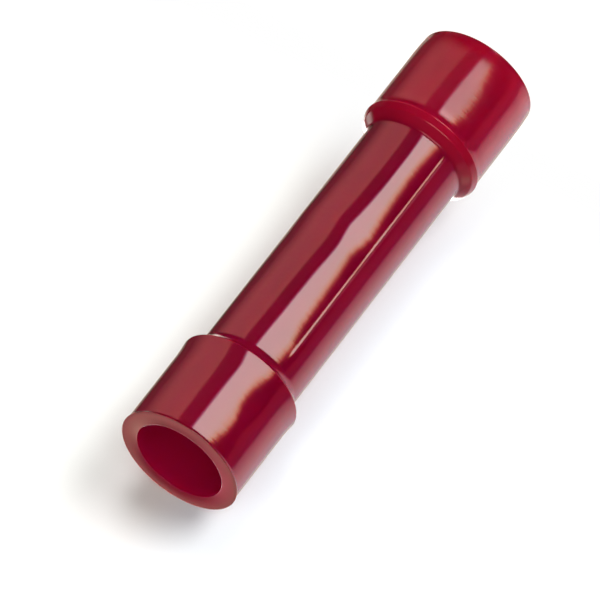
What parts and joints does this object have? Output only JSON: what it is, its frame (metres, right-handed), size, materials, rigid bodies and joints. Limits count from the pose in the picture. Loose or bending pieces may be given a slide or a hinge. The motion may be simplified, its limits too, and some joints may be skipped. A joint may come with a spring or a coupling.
{
  "type": "butt splice connector",
  "caption": "Insulated butt splice: a tinned copper crimp barrel inside a translucent red nylon sleeve with a belled mouth at each end for the two wires.",
  "frame": {"origin": "centre of the lower mouth's face, the end that the splice stands on", "axes": "+Z along the splice's axis, up to the other mouth; -Y is the side of the barrel's seam"},
  "size_m": [0.0064, 0.0064, 0.0265],
  "materials": {
    "red_nylon": "gloss, translucent",
    "tinned_copper": "satin tin plate on copper"
  },
  "bodies": {
    "root": {"insulating_sleeve": "red_nylon", "crimp_barrel": "tinned_copper"}
  },
  "joints": []
}
